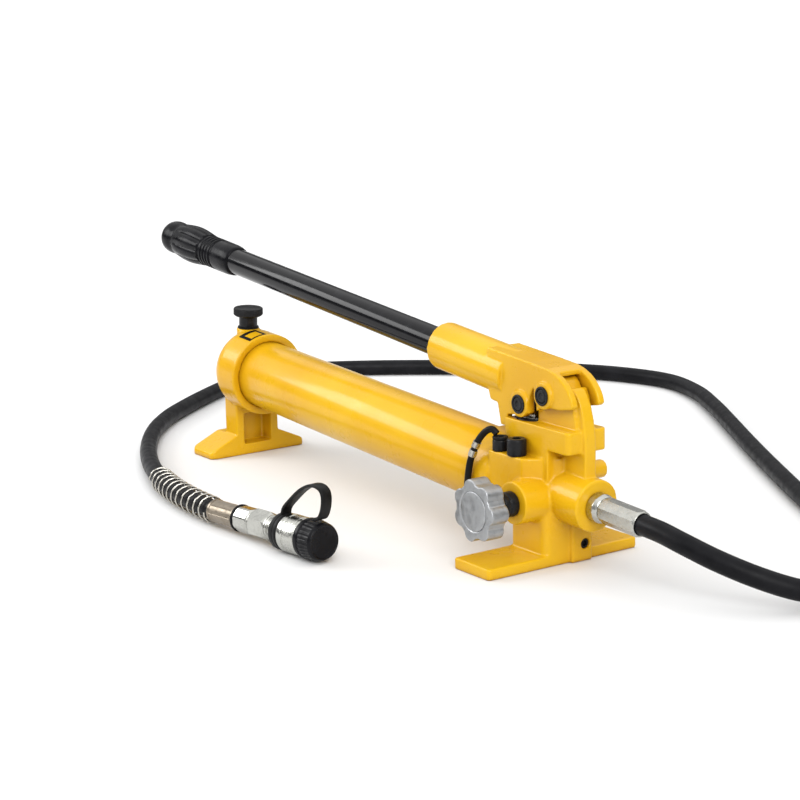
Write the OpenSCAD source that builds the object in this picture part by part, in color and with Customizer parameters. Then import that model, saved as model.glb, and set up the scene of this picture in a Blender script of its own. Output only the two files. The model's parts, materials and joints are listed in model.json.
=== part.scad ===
// Two-stage hydraulic hand pump with its hose and coupler.
// +X runs along the pump towards the outlet, +Y is the side away from the release knob, +Z is up.
// The origin is on the underside of the base plate, below the middle of the pump head.

/* [Base and head] */
// Length of the base plate along the pump
base_len = 49; // [46:1:54]
// Reach of the base plate on the knob side
base_near = 87; // [78:1:90]
// Reach of the base plate on the far side
base_far = 75; // [64:1:78]
// Thickness of the base plate
base_t = 9.5; // [8:0.5:11]
// Half the width of the top block that holds the plunger
block_half = 21; // [20.5:0.5:22]
// Height of the top of the block
block_top = 119; // [118.5:0.5:119.5]

/* [Reservoir] */
// Outside diameter of the reservoir tube
tank_od = 68; // [66:1:69]
// Wall of the reservoir tube
tank_wall = 3; // [2:0.5:4]
// Height of the reservoir axis above the floor at the head
axis_h = 60; // [59:0.5:61]
// Rise of the reservoir from the head to its rear end, in degrees
tank_rise = 3.3; // [3:0.1:3.6]
// Outside radius of the rear cap
cap_r = 42; // [41:0.5:43]
// Half the width of the rear foot
foot_half = 56.5; // [50:0.5:60]

/* [Lever] */
// Fulcrum pin, along the pump
fulcrum_x = 11.6; // [11.4:0.1:11.8]
// Fulcrum pin, height
fulcrum_z = 145; // [144.8:0.1:145.2]
// Plunger pin, along the pump
drive_x = -20; // [-20.1:0.1:-19.9]
// Plunger pin, height
drive_z = 133; // [132.9:0.1:133.1]
// Half the width of the yoke
yoke_half = 17.5; // [17:0.5:18]
// Rise of the handle towards its grip, in degrees
handle_rise = 5.6; // [5:0.1:6]
// Diameter of the handle rod
rod_d = 26.7; // [25:0.1:27]
// Distance from the fulcrum to the end of the grip
handle_reach = 670; // [640:1:700]

/* [Plunger] */
// Diameter of the low-pressure piston
low_d = 26; // [25:0.5:26]
// Diameter of the high-pressure piston
high_d = 13; // [12:0.5:14]

/* [Release valve and filler] */
// Radius of the release knob over its lobes
knob_r = 27; // [25:0.5:28]
// Number of lobes on the release knob
knob_lobes = 7; // [5:1:8]
// Diameter of the filler cap
filler_d = 30.5; // [28:0.5:32]

/* [Hose and coupler] */
// Outside diameter of the hose
hose_d = 18; // [17:0.5:18]
// Outside diameter of the spring guard
guard_d = 25; // [24.5:0.5:25]
// Number of turns in the spring guard
guard_turns = 10; // [8:1:11]
// Diameter of the dust cap
dust_d = 36.4; // [36:0.1:36.5]

/* [Hidden] */
$fn = 64;

casting = "gold";
dark = [0.12, 0.12, 0.13];
steel = [0.72, 0.73, 0.75];

// Running clearance of a shaft in its hole, on the radius
run = 0.05;

// Reservoir, measured along its own axis from the head
tank_r = tank_od / 2;
socket_r = tank_r + 0.1;
tank_front = -52;
tank_back = -478;
cap_front = -461;
cap_back = -512;
cap_round = 24;
seal_r = 1.1;
seal_groove_r = socket_r + 2.3;
tie_r = 5;

// Head
web_half = 10;
rib_half = 6;
hub_r = 17.2;
sweep_r = 25.4;
sweep_from = 20;
web_front = 51;
valve_top = 92;
valve_near = -36;
plunger_x = -21.1;
gland_r = 17;
gland_h = 9;
seal_pocket_r = 16;
release_x = 7.2;
release_z = 56.5;
release_end = -48.6;
disc_r = 17;
relief_y = -29.5;
relief_rear_x = -33;
relief_front_x = -10.5;
rear_plug_h = 10;
far_port_x = 15;
far_port_z = 74;
far_port_end = 43;
gauge_y = 14;
gauge_z = 15;
outlet_r = 22.5;
outlet_face = 59;
stem_start = 71;
stem_end = 116;

// Lever, along the handle axis from the fulcrum
handle_z = 146.3;
pin_r = 6.2;
pin_half = 21;
boss_r = 11.5;
channel_half = 11;
socket_od = 43.5;
socket_back = -162;
plate_front = 24;
eye_base = 120;
slot_half = 1.25;
slot_r = 6.45;
rod_front = -76;
grip_len = 143;

// Rear foot
foot_front = -484;
foot_back = -524;

// Filler neck on the rear cap, along and above the reservoir axis
filler_u = -500;
filler_w = 42.2;
neck_r = 8;

// Coupler line: where the crimped ferrule starts on the floor, and how it lies
line_start = [-266, -178, 14.2];
line_turn = 4.2;
line_tilt = -1.7;

// Route of the hose from the outlet into the ferrule. It runs straight out, comes down to the floor,
// turns back behind the pump and round its rear end, and comes forward on the knob side.
hose_route = [
    [115.8, 0, 53.3], [139, 0, 51.8], [165, 2, 47], [193, 11, 38.5], [219, 29, 28], [238, 54, 18],
    [248, 84, 11.5], [247, 116, 9.3], [235, 146, 9.2], [214, 172, 9.2], [184, 195, 9.2], [135, 222, 9.2],
    [78, 251, 9.2], [18, 284, 9.2], [-48, 323, 9.2], [-114, 363, 9.2], [-180, 404, 9.2],
    [-246, 446, 9.2], [-312, 487, 9.2], [-380, 524, 9.2], [-448, 542, 9.2], [-517, 524, 9.2],
    [-582, 484, 9.2], [-644, 431, 9.2], [-701, 370, 9.2], [-748, 308, 9.2], [-780, 252, 9.2],
    [-789, 203, 9.2], [-777, 155, 9.2], [-751, 112, 9.2], [-722, 70, 9.2], [-690, 28, 9.2],
    [-652, -16, 9.2], [-604, -58, 9.2], [-544, -97, 9.4], [-477, -131, 10.6], [-405, -158, 12.7],
    [-336, -173, 13.5], [-266, -178, 14.2], [-228, -175.2, 15.3]
];
lock_at = 40.5;
nut_start = 43;
hex_start = 66;
neck_start = 91;
tether_at = 105;
collar_start = 115.9;
collar_end = 140.6;
cap_start = 142;
cap_end = 164.5;
guard_wire = 2.6;
guard_steps = 16;

// Moves into the reservoir's own frame: X along its axis, origin on the axis above the base
module along_tank() translate([0, 0, axis_h]) rotate([0, tank_rise, 0]) children();

// Moves into the handle's own frame: X along the handle, towards the head
module along_handle() translate([fulcrum_x, 0, handle_z]) rotate([0, handle_rise, 0]) children();

// Moves into the coupler's own frame: X along its axis, from the ferrule towards the dust cap
module along_line() translate(line_start) rotate([0, line_tilt, line_turn]) children();

// A round bar along X from a to b
module bar_x(r, a, b) translate([a, 0, 0]) rotate([0, 90, 0]) cylinder(r = r, h = b - a);

// A round bar along Y from a to b, through x and z
module bar_y(r, a, b, x = 0, z = 0) translate([x, b, z]) rotate([90, 0, 0]) cylinder(r = r, h = b - a);

// A ring along X from a to b
module ring_x(r_out, r_in, a, b) difference() {
    bar_x(r_out, a, b);
    bar_x(r_in, a - 1, b + 1);
}

// A hexagonal bar along X, measured across its flats
module hex_x(flats, a, b) translate([a, 0, 0]) rotate([0, 90, 0])
    cylinder(r = flats / sqrt(3), h = b - a, $fn = 6);

// An O-ring round the X axis
module o_ring_x(r, r_small, x) translate([x, 0, 0]) rotate([0, 90, 0])
    rotate_extrude() translate([r, 0]) circle(r = r_small, $fn = 32);

// A slab with round upright corners
module slab(x0, x1, y0, y1, h, r) linear_extrude(h) {
    translate([x0 + r, y0]) square([x1 - x0 - 2 * r, y1 - y0]);
    translate([x0, y0 + r]) square([x1 - x0, y1 - y0 - 2 * r]);
    for (x = [x0 + r, x1 - r], y = [y0 + r, y1 - r]) translate([x, y]) circle(r = r);
}

// An upright outline in X and Z, given thickness along Y
module side_plate(points, half) translate([0, half, 0]) rotate([90, 0, 0])
    linear_extrude(2 * half) polygon(points);

// ---------------------------------------------------------------- pump head

// Fulcrum web: a wide rear part under the yoke and a thin rib in front of it
module fulcrum_web() {
    side_plate([[-5.9, 110], [46, 110], [44, 121], [42, 131], [40, 138], [38, 145], [36, 149.5], [33.5, 153.5],
        [29, 158.5], [24, 162], [11.6, 162.5], [-5.9, 145]], web_half);
    side_plate([[10, 40], [web_front, 70], [web_front + 0.5, 100], [50.5, 115], [48.5, 128], [45, 139],
        [41, 146.5], [37, 151.5], [30, 155], [11.6, 155]], rib_half);
    bar_y(hub_r, -web_half, web_half, fulcrum_x, fulcrum_z);
}

// Room for the yoke's top plate to swing down in front of the hub
module web_sweep() translate([fulcrum_x, 0, fulcrum_z]) intersection() {
    difference() {
        bar_y(sweep_r, -12, 12);
        bar_y(hub_r, -13, 13);
    }
    rotate([0, -sweep_from, 0]) translate([0, -15, 0]) cube([60, 30, 60]);
}

module head_casting() {
    slab(-base_len / 2, base_len / 2, -base_near, base_far, base_t, 3);
    slab(-24.5, 24.5, -27, 24, 50, 7);
    slab(-4, 28.5, -1, 21.5, 38, 1.5);
    translate([0, 0, 42]) linear_extrude(valve_top - 42)
        polygon([[-42, valve_near], [3.6, valve_near], [6, -33], [24, -9], [24, 9], [24, 24], [-42, 24]]);
    translate([-38, -block_half, 42]) cube([58, 2 * block_half, block_top - 42]);
    translate([0, 0, 100]) slab(-38, 47, -block_half, block_half, block_top - 100, 4);
    bar_y(18.5, release_end, 10, release_x, release_z);
    bar_y(8, 0, far_port_end, far_port_x, far_port_z);
    along_tank() {
        bar_x(outlet_r, 0, outlet_face);
        bar_x(tank_r + 5, -72, -42);
    }
    difference() {
        fulcrum_web();
        web_sweep();
    }
}

module pump_head() color(casting) difference() {
    head_casting();
    // Reservoir socket, seal groove and tie rod hole
    along_tank() {
        bar_x(socket_r, -73, tank_front);
        bar_x(seal_groove_r, -64, -60.6);
        bar_x(tie_r, tank_front - 1, -38);
        translate([0, 0, -20]) bar_x(5, tank_front - 1, -44);
        bar_x(9, 40, outlet_face + 1);
        bar_x(3, -8, 45);
    }
    // Plunger bores, from the gland down
    translate([plunger_x, 0, 0]) {
        translate([0, 0, block_top - gland_h]) cylinder(r = gland_r, h = gland_h + 1);
        translate([0, 0, block_top - gland_h - 6]) cylinder(r = seal_pocket_r, h = 7);
        translate([0, 0, 80]) cylinder(r = low_d / 2 + run, h = 30);
        translate([0, 0, 50]) cylinder(r = high_d / 2 + run, h = 31);
    }
    // Inlet and outlet check valves, in line below the plunger and beside it
    translate([plunger_x, 0, 30]) cylinder(r = 5, h = 21);
    bar_y(5, 6, 25, 2, 66);
    // Relief valve drillings
    for (x = [relief_rear_x, relief_front_x]) translate([x, relief_y, 0]) {
        translate([0, 0, 78]) cylinder(r = 5, h = valve_top - 77);
        translate([0, 0, 60]) cylinder(r = 3.6, h = 19);
    }
    // Release valve
    bar_y(8, release_end - 1, -26, release_x, release_z);
    bar_y(4.2, -27, -4, release_x, release_z);
    // Gauge port, far port and fulcrum pin hole
    translate([0, gauge_y, gauge_z]) bar_x(4.6, 10, 30);
    bar_y(5, 20, far_port_end + 1, far_port_x, far_port_z);
    bar_y(pin_r + run, -13, 13, fulcrum_x, fulcrum_z);
}

// ---------------------------------------------------------------- reservoir

module tank_tube() color(casting) along_tank() ring_x(tank_r, tank_r - tank_wall, tank_back, tank_front);

// Shell of the rear cap: a drum with a rounded back edge
module cap_shell() translate([cap_back, 0, 0]) rotate([0, 90, 0]) rotate_extrude() {
    translate([0, cap_round]) square([cap_r, cap_front - cap_back - cap_round]);
    square([cap_r - cap_round, cap_round + 1]);
    intersection() {
        translate([cap_r - cap_round, cap_round]) circle(r = cap_round);
        translate([cap_r - cap_round - 1, 0]) square([cap_round + 1, cap_round + 1]);
    }
}

module foot() intersection() {
    translate([foot_back, 0, 0]) rotate([90, 0, 90]) linear_extrude(foot_front - foot_back)
        polygon([[-foot_half, 0], [foot_half, 0], [foot_half, 6], [foot_half - 4, 9], [26, 21],
            [-26, 21], [-foot_half + 4, 9], [-foot_half, 6]]);
    slab(foot_back, foot_front, -foot_half, foot_half, 30, 5);
}

module rear_cap() color(casting) difference() {
    union() {
        along_tank() {
            cap_shell();
            translate([filler_u, 0, 20]) cylinder(r = 12, h = filler_w - 20);
        }
        foot();
        translate([-508, -25, 10]) cube([24, 50, 62]);
    }
    along_tank() {
        bar_x(socket_r, tank_back, cap_front + 1);
        bar_x(seal_groove_r, -473.4, -470);
        bar_x(28, -496, tank_back + 1);
        bar_x(tie_r + run, cap_back - 1, -490);
        translate([filler_u, 0, 24]) cylinder(r = neck_r, h = 20);
        translate([filler_u, 0, 22]) cylinder(r = 6, h = 3);
        translate([-497, 0, 22]) bar_x(5, 0, 6);
    }
    // Pocket between the two ribs of the pedestal
    translate([-501, -16, 11]) cube([20, 32, 33]);
}

module front_tank_seal() color(dark) along_tank() o_ring_x(socket_r + seal_r, seal_r, -62.3);

module rear_tank_seal() color(dark) along_tank() o_ring_x(socket_r + seal_r, seal_r, -471.7);

module tie_rod() color(steel) along_tank() bar_x(tie_r, -524, -38);

module tie_rod_nut() color(steel) along_tank() difference() {
    hex_x(17, cap_back - 8, cap_back);
    bar_x(tie_r, cap_back - 9, cap_back + 1);
}

// Suction line from the bottom of the reservoir into the head
module suction_tube() color(steel) along_tank() translate([0, 0, -20]) ring_x(5, 3.5, -96, -44);

module suction_strainer() color(steel) along_tank() translate([0, 0, -20]) difference() {
    bar_x(9, -130, -88);
    bar_x(7.5, -128.5, -96);
    bar_x(5, -97, -87);
}

// ---------------------------------------------------------------- plunger gland and valves

module gland_nut() color(steel) translate([plunger_x, 0, block_top - gland_h]) difference() {
    cylinder(r = gland_r, h = gland_h + 0.8);
    translate([0, 0, -1]) cylinder(r = low_d / 2 + 2 * run, h = gland_h + 3);
    for (a = [45, 225]) rotate(a) translate([15, 0, gland_h - 3]) cylinder(r = 1.2, h = 5);
}

module plunger_seal() color(dark) translate([plunger_x, 0, block_top - gland_h - 6]) difference() {
    cylinder(r = seal_pocket_r, h = 6);
    translate([0, 0, -1]) cylinder(r = low_d / 2 + run, h = 8);
}

// Inlet ball under the plunger and outlet ball beside it
module check_balls() color(steel) {
    translate([plunger_x, 0, 34.5]) sphere(r = 4);
    translate([2, 12, 66]) sphere(r = 4);
}

// A short coil spring, drawn as its stack of turns
module turn_stack(r, wire, turns, pitch) for (i = [0 : turns - 1]) translate([0, 0, i * pitch])
    rotate_extrude() translate([r, 0]) circle(r = wire, $fn = 16);

module check_springs() color(steel) {
    translate([plunger_x, 0, 40]) turn_stack(3.4, 0.6, 4, 2.6);
    translate([2, 16.8, 66]) rotate([-90, 0, 0]) turn_stack(3.4, 0.6, 3, 2.6);
}

module relief_balls() color(steel) for (x = [relief_rear_x, relief_front_x])
    translate([x, relief_y, 63.2]) sphere(r = 3.1);

module relief_springs() color(steel) for (x = [relief_rear_x, relief_front_x])
    translate([x, relief_y, 67.6]) turn_stack(2.6, 0.6, 5, 2.6);

// Socket-head valve plug, standing on the valve block
module relief_plug(x, head_r, head_h) translate([x, relief_y, valve_top]) difference() {
    union() {
        translate([0, 0, -11]) cylinder(r = 5, h = 12);
        cylinder(r = head_r, h = head_h);
    }
    translate([0, 0, head_h - 6]) cylinder(r = head_r * 0.52, h = 7, $fn = 6);
}

module rear_relief_plug() color(dark) relief_plug(relief_rear_x, 6.8, rear_plug_h);

module front_relief_plug() color(dark) relief_plug(relief_front_x, 8.4, 14.5);

module gauge_port_plug() color(dark) translate([0, gauge_y, gauge_z]) difference() {
    bar_x(4.6, 12, 26.5);
    translate([23, 0, 0]) rotate([0, 90, 0]) cylinder(r = 2.6, h = 5, $fn = 6);
}

module far_port_plug() color(dark) difference() {
    bar_y(5, 21, far_port_end - 0.4, far_port_x, far_port_z);
    translate([far_port_x, far_port_end, far_port_z]) rotate([90, 0, 0]) cylinder(r = 2.5, h = 4, $fn = 6);
}

// ---------------------------------------------------------------- release valve

module release_gland() color(dark) difference() {
    union() {
        bar_y(11, -63.5, release_end, release_x, release_z);
        bar_y(8, -60, -30, release_x, release_z);
    }
    bar_y(4 + run, -65, -29, release_x, release_z);
}

module release_ball() color(steel) translate([release_x, -9, release_z]) sphere(r = 3.6);

module release_stem() color(dark) {
    bar_y(4, -82, -13.5, release_x, release_z);
    bar_y(2, -14, -12.8, release_x, release_z);
}

// Star knob: round lobes with hollows between them
module release_knob() color(steel) translate([release_x, -69.5, release_z]) rotate([90, 0, 0]) difference() {
    union() {
        translate([0, 0, 3]) linear_extrude(17.5) difference() {
            union() {
                circle(r = knob_r - 4);
                for (i = [0 : knob_lobes - 1]) rotate(i * 360 / knob_lobes)
                    translate([knob_r - 8, 0]) circle(r = 8);
            }
            for (i = [0 : knob_lobes - 1]) rotate((i + 0.5) * 360 / knob_lobes)
                translate([knob_r + 3.2, 0]) circle(r = 7);
        }
        cylinder(r = 9, h = 4);
    }
    translate([0, 0, -1]) cylinder(r = 4, h = 14);
    translate([0, 0, 19.2]) cylinder(r = disc_r + 0.4, h = 2);
}

module knob_disc() color(steel) translate([release_x, -88.7, release_z]) rotate([90, 0, 0])
    cylinder(r = disc_r, h = 1.6);

// ---------------------------------------------------------------- handle strap

// Moves to the middle of the clip, with Z along the strap
module along_strap_clip() translate([-55.8, -40.15, 89.25]) rotate([-10.7, 19.9, 0]) children();

// A flat band along a line of points, as one closed skin with width across Y
function band_ring(points, i, w, t) =
    let (a = points[max(i - 1, 0)], b = points[min(i + 1, len(points) - 1)], d = (b - a) / norm(b - a),
        n = cross(d, [0, 1, 0]) * t / 2, s = [0, w / 2, 0])
    [points[i] + n - s, points[i] + n + s, points[i] - n + s, points[i] - n - s];

module band(points, w, t) {
    n = len(points);
    polyhedron(
        points = [for (i = [0 : n - 1]) each band_ring(points, i, w, t)],
        faces = concat([[3, 2, 1, 0], [for (k = [0 : 3]) 4 * (n - 1) + k]],
            [for (i = [0 : n - 2], k = [0 : 3])
                [4 * i + k, 4 * i + (k + 1) % 4, 4 * i + 4 + (k + 1) % 4, 4 * i + 4 + k]]));
}

// Eye on the rear plug's head, and the round strap that hangs from it
module handle_strap() color(dark) {
    difference() {
        translate([relief_rear_x, relief_y, valve_top + rear_plug_h]) cylinder(r = 6.8, h = 2.4);
        translate([relief_rear_x, relief_y, valve_top + rear_plug_h - 1]) cylinder(r = 3, h = 4);
    }
    tube_along([[-36.2, -30.6, 106], [-40.5, -32.4, 109.3], [-46.5, -35, 106.5], [-53, -38.6, 97],
        [-58.6, -41.7, 81.5], [-61, -43, 68], [-62.4, -43.4, 54]], 3, 10, [0, 1, 0]);
}

module strap_clip() color(steel) along_strap_clip() difference() {
    translate([0, 0, -5.5]) cylinder(r = 4.3, h = 11);
    translate([0, 0, -6]) cylinder(r = 2.6, h = 12);
}

// ---------------------------------------------------------------- outlet, hose and coupler

module outlet_adapter() color(steel) along_tank() difference() {
    union() {
        bar_x(9, 42, outlet_face + 1);
        bar_x(12.6, outlet_face, stem_start);
    }
    bar_x(3, 41, stem_start + 1);
}

module hose_stem() color(steel) along_tank() {
    hex_x(20.5, stem_start, stem_end - 1);
    bar_x(10.2, stem_end - 2, stem_end);
}

// Points of one cross-section of a tube, square to its route; no part of the route may run along 'ref'
function ring_at(points, i, r, sides, ref) =
    let (a = points[max(i - 1, 0)], b = points[min(i + 1, len(points) - 1)], d = (b - a) / norm(b - a),
        s = cross(d, ref) / norm(cross(d, ref)), u = cross(s, d))
    [for (k = [0 : sides - 1]) points[i] + r * (cos((k + 0.5) * 360 / sides) * s
        + sin((k + 0.5) * 360 / sides) * u)];

module tube_along(points, r, sides, ref) {
    n = len(points);
    polyhedron(
        points = [for (i = [0 : n - 1]) each ring_at(points, i, r, sides, ref)],
        faces = concat([[for (k = [0 : sides - 1]) sides - 1 - k],
            [for (k = [0 : sides - 1]) sides * (n - 1) + k]],
            [for (i = [0 : n - 2], k = [0 : sides - 1])
                [sides * i + k, sides * i + (k + 1) % sides, sides * (i + 1) + (k + 1) % sides]],
            [for (i = [0 : n - 2], k = [0 : sides - 1])
                [sides * i + k, sides * (i + 1) + (k + 1) % sides, sides * (i + 1) + k]]));
}

// A point on the smooth curve through the route, at t from 0 to 1 of span i
function on_route(i, t) =
    let (n = len(hose_route) - 1, p0 = hose_route[max(i - 1, 0)], p1 = hose_route[i],
        p2 = hose_route[min(i + 1, n)], p3 = hose_route[min(i + 2, n)])
    0.5 * (2 * p1 + (p2 - p0) * t + (2 * p0 - 5 * p1 + 4 * p2 - p3) * t * t
        + (3 * p1 - p0 - 3 * p2 + p3) * t * t * t);

hose_line = [for (i = [0 : len(hose_route) - 2], t = [0, 0.5]) on_route(i, t), hose_route[len(hose_route) - 1]];

module hose() color(dark) tube_along(hose_line, hose_d / 2, 12, [0, 0, 1]);

// Wire guard: a helix round the two spans before the ferrule
guard_dir = (hose_route[38] - hose_route[36]) / norm(hose_route[38] - hose_route[36]);
guard_side = cross(guard_dir, [0, 0, 1]) / norm(cross(guard_dir, [0, 0, 1]));
guard_up = cross(guard_side, guard_dir);
guard_line = [for (i = [0 : guard_turns * guard_steps])
    let (s = 2 * i / (guard_turns * guard_steps), c = s < 1 ? on_route(36, s) : on_route(37, s - 1),
        a = i * 360 / guard_steps, r = (guard_d - guard_wire) / 2)
    c + r * (cos(a) * guard_side + sin(a) * guard_up)];

module spring_guard() color(steel) tube_along(guard_line, guard_wire / 2, 6, guard_dir);

// Crimped shell with the hose pushed into it, and the solid end that the nut turns on
module hose_ferrule() color("tan") along_line() {
    ring_x(11, hose_d / 2 + 0.05, 0, 38.2);
    bar_x(11, 38, lock_at);
}

module lock_ring() color(dark) along_line() bar_x(12.6, lock_at, nut_start);

module swivel_nut() color(steel) along_line() bar_x(12, nut_start, hex_start);

module end_hexagon() color(steel) along_line() hex_x(24, hex_start, neck_start);

// Threaded neck, collar seat and nose of the coupler
module coupler_body() color(steel) along_line() difference() {
    union() {
        bar_x(11.5, neck_start, 106);
        bar_x(13, 104.5, 141.3);
        bar_x(10.5, 141, 161);
    }
    bar_x(5, 122, 162);
}

module coupler_seal() color(dark) along_line() o_ring_x(10.5 + 0.8, 0.8, 152);

module cap_ring() color(dark) along_line() ring_x(17, 13, tether_at, tether_at + 10.5);

module coupler_collar() color(steel) along_line() ring_x(17.25, 13 + run, collar_start, collar_end);

module dust_cap() color(dark) along_line() difference() {
    bar_x(dust_d / 2, cap_start, cap_start + 11);
    translate([cap_start + 10.9, 0, 0]) rotate([0, 90, 0])
        cylinder(r1 = dust_d / 2, r2 = 16.3, h = cap_end - cap_start - 10.9);
    bar_x(13.2, cap_start - 1, cap_end - 2.5);
}

// Rubber strap from the ring up and over to the dust cap
module cap_strap() color(dark) along_line()
    band([[110.2, 0, 15.8], [113, 0, 22.5], [123.9, 0, 31.8], [134.4, 0, 39.8], [143.4, 0, 45], [152.5, 0, 48.3],
        [161, 0, 48.8], [167.5, 0, 46.3], [170, 0, 41], [169.3, 0, 33.4], [166.4, 0, 26], [162.5, 0, 21.4],
        [157, 0, 19.8]], 10.5, 2.8);

// ---------------------------------------------------------------- lever

// Side outline of the yoke
yoke_side = [[-66, 174.8], [-10, 170.6], [14.7, 168.3], [23, 166.2], [31, 162.8], [38, 158], [43.5, 152],
    [47, 146], [48.4, 141], [46, 138.5], [30, 135.5], [12, 135], [-20, 121.5], [-30, 122],
    [-38.7, 120.5], [-38.7, 110], [-48, 110], [-52.5, 128.5], [-62.5, 130], [-66, 140]];

module lever_yoke() color(casting) difference() {
    union() {
        side_plate(yoke_side, yoke_half);
        along_handle() bar_x(socket_od / 2, socket_back, -58);
        for (p = [[drive_x, drive_z], [fulcrum_x, fulcrum_z]])
            bar_y(boss_r, -yoke_half - 2.5, yoke_half + 2.5, p[0], p[1]);
    }
    // Channel between the cheeks, open below and in front of the top plate
    side_plate([[-54, 90], [60, 90], [60, 200], [plate_front, 200], [plate_front, 161.5], [11, 162.6],
        [-54, 168]], channel_half);
    along_handle() {
        bar_x(rod_d / 2, socket_back - 1, rod_front);
        translate([-120, 0, -socket_od / 2 - 1]) cylinder(r = 4, h = 12);
    }
    side_plate([[-8.5, 115], [-8.5, 141], [-4, 149], [0.5, 146], [1, 115]], yoke_half + 1);
    for (p = [[drive_x, drive_z], [fulcrum_x, fulcrum_z]]) bar_y(pin_r, -30, 30, p[0], p[1]);
}

module handle_rod() color(dark) along_handle() ring_x(rod_d / 2, rod_d / 2 - 2.5, -handle_reach + 8, rod_front);

// Grip: a bulb at the end, a waist, a barrel, fine rings and a collar
module handle_grip() color(dark) along_handle() translate([-handle_reach, 0, 0]) difference() {
    union() {
        bar_x(13, 0, 6);
        bar_x(17.4, 5, 24);
        bar_x(16, 20, 32);
        bar_x(19.5, 30, 84);
        bar_x(16.2, 80, grip_len);
    }
    bar_x(rod_d / 2, 8, grip_len + 1);
}

module handle_set_screw() color(dark) along_handle()
    translate([-120, 0, -socket_od / 2 + 0.5]) difference() {
        cylinder(r = 4, h = 7.5);
        translate([0, 0, -1]) cylinder(r = 2, h = 4, $fn = 6);
    }

module fulcrum_pin() color(dark) bar_y(pin_r, -pin_half, pin_half, fulcrum_x, fulcrum_z);

module drive_pin() color(dark) bar_y(pin_r, -pin_half, pin_half, drive_x, drive_z);

// Retaining rings in the yoke's bosses, at both ends of both pins
module pin_rings() color(dark) for (p = [[drive_x, drive_z], [fulcrum_x, fulcrum_z]], side = [-1, 1])
    difference() {
        bar_y(8.2, side * 20.6 - 0.6, side * 20.6 + 0.6, p[0], p[1]);
        bar_y(pin_r, -30, 30, p[0], p[1]);
    }

// ---------------------------------------------------------------- plunger

// Stepped plunger with a slotted eye for the drive pin
module plunger() color(steel) difference() {
    union() {
        translate([plunger_x, 0, 56]) cylinder(r = high_d / 2, h = 30);
        translate([plunger_x, 0, 84]) cylinder(r = low_d / 2, h = eye_base + 0.6 - 84);
        translate([plunger_x - 10, -9, eye_base]) cube([20, 18, drive_z - eye_base]);
        bar_y(10, -9, 9, plunger_x, drive_z);
    }
    for (s = [-slot_half, slot_half]) bar_y(slot_r, -10, 10, plunger_x + s, drive_z);
    translate([plunger_x - slot_half, -10, drive_z - slot_r]) cube([2 * slot_half, 20, 2 * slot_r]);
    translate([plunger_x, 0, 90]) difference() {
        cylinder(r = low_d / 2 + 1, h = 3);
        translate([0, 0, -1]) cylinder(r = low_d / 2 - 2, h = 5);
    }
}

module piston_ring() color("white") translate([plunger_x, 0, 90]) difference() {
    cylinder(r = low_d / 2, h = 3);
    translate([0, 0, -1]) cylinder(r = low_d / 2 - 2, h = 5);
}

// ---------------------------------------------------------------- filler cap

// Mushroom cap with a threaded plug below it
module filler_cap() color(dark) along_tank() translate([filler_u, 0, filler_w]) difference() {
    union() {
        translate([0, 0, -12]) cylinder(r = neck_r - run, h = 14);
        translate([0, 0, 1.2]) cylinder(r = 9.5, h = 12);
        translate([0, 0, 12.5]) cylinder(r = filler_d / 2, h = 9);
    }
    translate([0, 0, -13]) cylinder(r = 2, h = 20);
}

module filler_seal() color(dark) along_tank() translate([filler_u, 0, filler_w]) difference() {
    cylinder(r = 11, h = 1.2);
    translate([0, 0, -1]) cylinder(r = neck_r - run, h = 4);
}

pump_head();
tank_tube();
rear_cap();
front_tank_seal();
rear_tank_seal();
tie_rod();
tie_rod_nut();
suction_tube();
suction_strainer();
gland_nut();
plunger_seal();
check_balls();
check_springs();
relief_balls();
relief_springs();
rear_relief_plug();
front_relief_plug();
gauge_port_plug();
far_port_plug();
release_gland();
release_ball();
handle_strap();
strap_clip();
outlet_adapter();
hose_stem();
hose();
spring_guard();
hose_ferrule();
lock_ring();
swivel_nut();
end_hexagon();
coupler_body();
coupler_seal();
cap_ring();
cap_strap();
coupler_collar();
dust_cap();
lever_yoke();
handle_rod();
handle_grip();
handle_set_screw();
fulcrum_pin();
drive_pin();
pin_rings();
plunger();
piston_ring();
release_stem();
release_knob();
knob_disc();
filler_cap();
filler_seal();
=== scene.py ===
"""Looks of the hydraulic hand pump: every visible piece, its materials, the studio and the camera.

Outlines below are in millimetres, in one of four places: the pump's own frame, along the oil reservoir,
along the handle, or along the coupler at the hose's end. They are turned into metres as they are built.
"""
import json
import math

import bmesh
import bpy
import numpy as np
from mathutils import Euler, Matrix, Vector


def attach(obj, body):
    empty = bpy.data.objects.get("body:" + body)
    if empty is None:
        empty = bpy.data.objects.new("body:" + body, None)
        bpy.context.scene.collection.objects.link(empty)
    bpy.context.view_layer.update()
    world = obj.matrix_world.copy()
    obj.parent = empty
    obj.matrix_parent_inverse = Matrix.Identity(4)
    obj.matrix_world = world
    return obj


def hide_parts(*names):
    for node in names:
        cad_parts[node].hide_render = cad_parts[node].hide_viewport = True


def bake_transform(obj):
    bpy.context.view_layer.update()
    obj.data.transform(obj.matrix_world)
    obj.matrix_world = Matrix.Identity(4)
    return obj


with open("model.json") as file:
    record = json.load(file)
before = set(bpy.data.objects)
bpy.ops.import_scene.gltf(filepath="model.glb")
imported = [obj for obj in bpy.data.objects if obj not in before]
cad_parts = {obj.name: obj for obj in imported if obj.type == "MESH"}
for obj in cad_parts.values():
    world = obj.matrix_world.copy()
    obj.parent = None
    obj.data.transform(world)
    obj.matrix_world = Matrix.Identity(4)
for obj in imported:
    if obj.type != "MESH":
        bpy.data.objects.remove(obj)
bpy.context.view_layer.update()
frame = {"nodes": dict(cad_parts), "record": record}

MM = 0.001

# ------------------------------------------------------------------ places shared with the CAD model

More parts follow.
